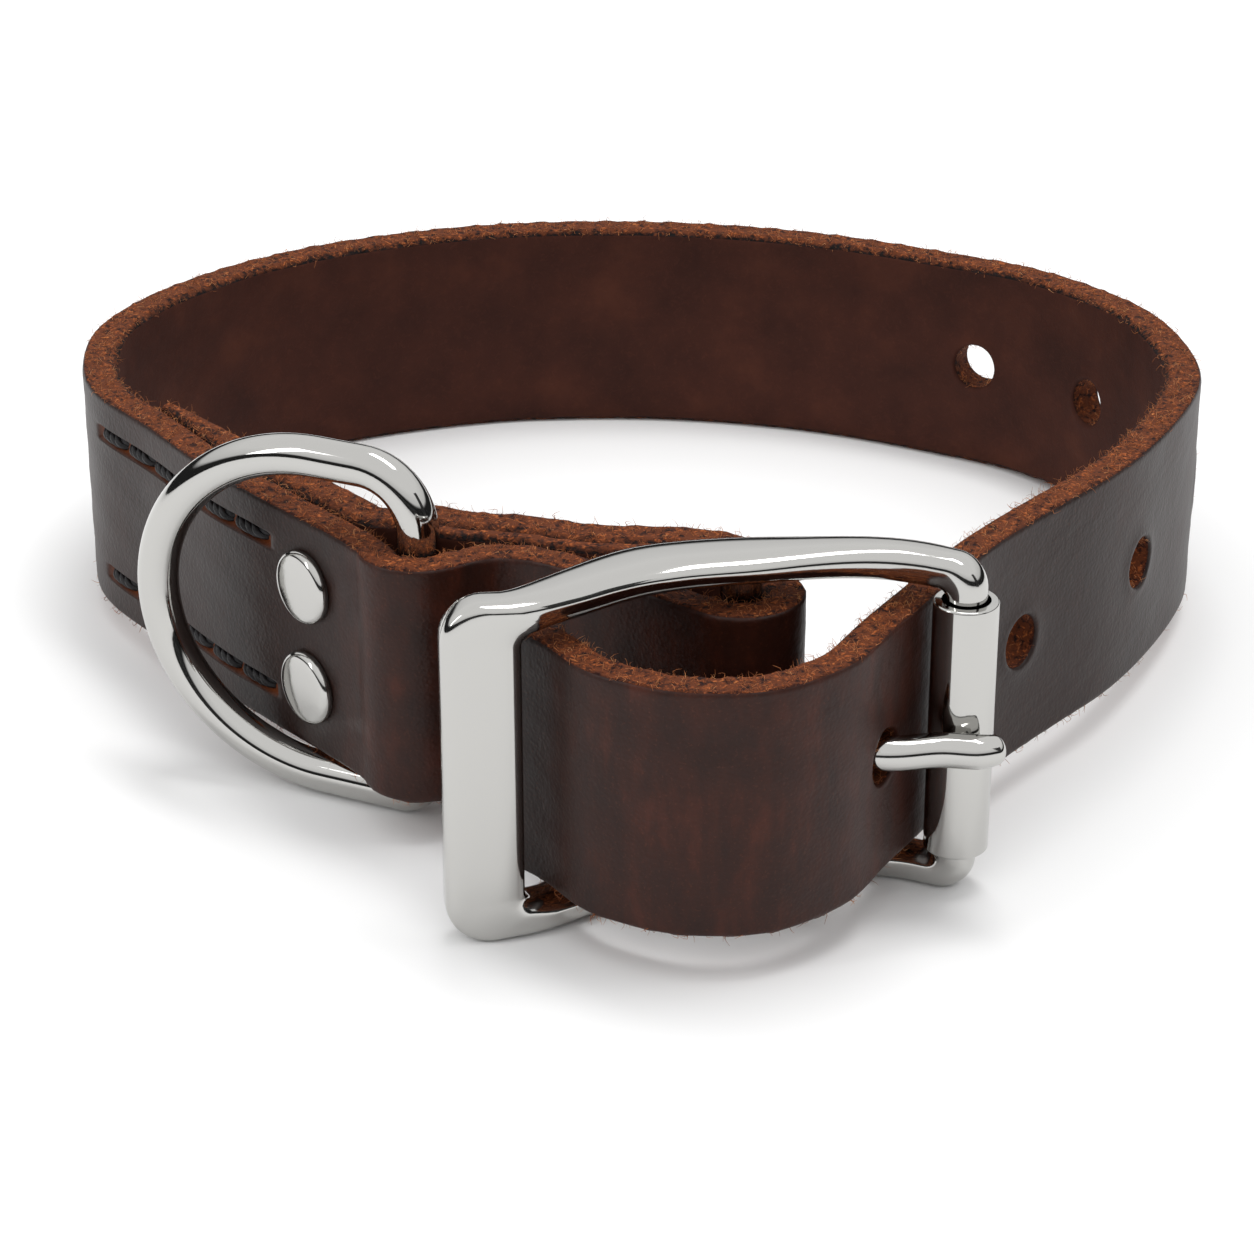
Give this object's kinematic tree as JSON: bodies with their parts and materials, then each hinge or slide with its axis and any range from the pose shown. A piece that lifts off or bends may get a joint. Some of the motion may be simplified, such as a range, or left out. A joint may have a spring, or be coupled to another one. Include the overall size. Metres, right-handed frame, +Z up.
{
  "type": "dog collar",
  "caption": "Buckled leather dog collar with a roller buckle, a riveted D-ring and a punched, stitched strap, standing closed on its edge.",
  "frame": {"origin": "centre of the bounding box in plan, at the level of the lowest edge", "axes": "+Z up through the neck opening, -Y towards the buckle, +X towards the roller"},
  "size_m": [0.1244, 0.138, 0.0394],
  "materials": {
    "bridle_leather": "dyed and waxed, raw brown cut edges",
    "filler_leather": "undyed split",
    "nickel_casting": "polished nickel plate on a zinc casting",
    "nickel_tube": "polished nickel plate on steel tube",
    "nickel_wire": "polished nickel plate on steel wire",
    "nickel_cap": "polished nickel plate on pressed brass"
  },
  "bodies": {
    "collar": {"strap": "bridle_leather", "filler": "filler_leather", "buckle_frame": "nickel_casting", "tongue": "nickel_wire", "rivet_upper": "nickel_cap", "rivet_lower": "nickel_cap"},
    "roller_tube": {"roller": "nickel_tube"},
    "ring": {"d_ring": "nickel_wire"}
  },
  "joints": [
    {"name": "roller_spin", "type": "hinge", "parent": "collar", "child": "roller_tube", "pos_m": [0.03054, -0.05121, 0.0177], "axis": [0, 0, 1], "continuous": true},
    {"name": "d_ring_swing", "type": "hinge", "parent": "collar", "child": "ring", "pos_m": [-0.02156, -0.03721, 0.0198], "axis": [0, 0, 1], "range_deg": [0, 100]}
  ]
}
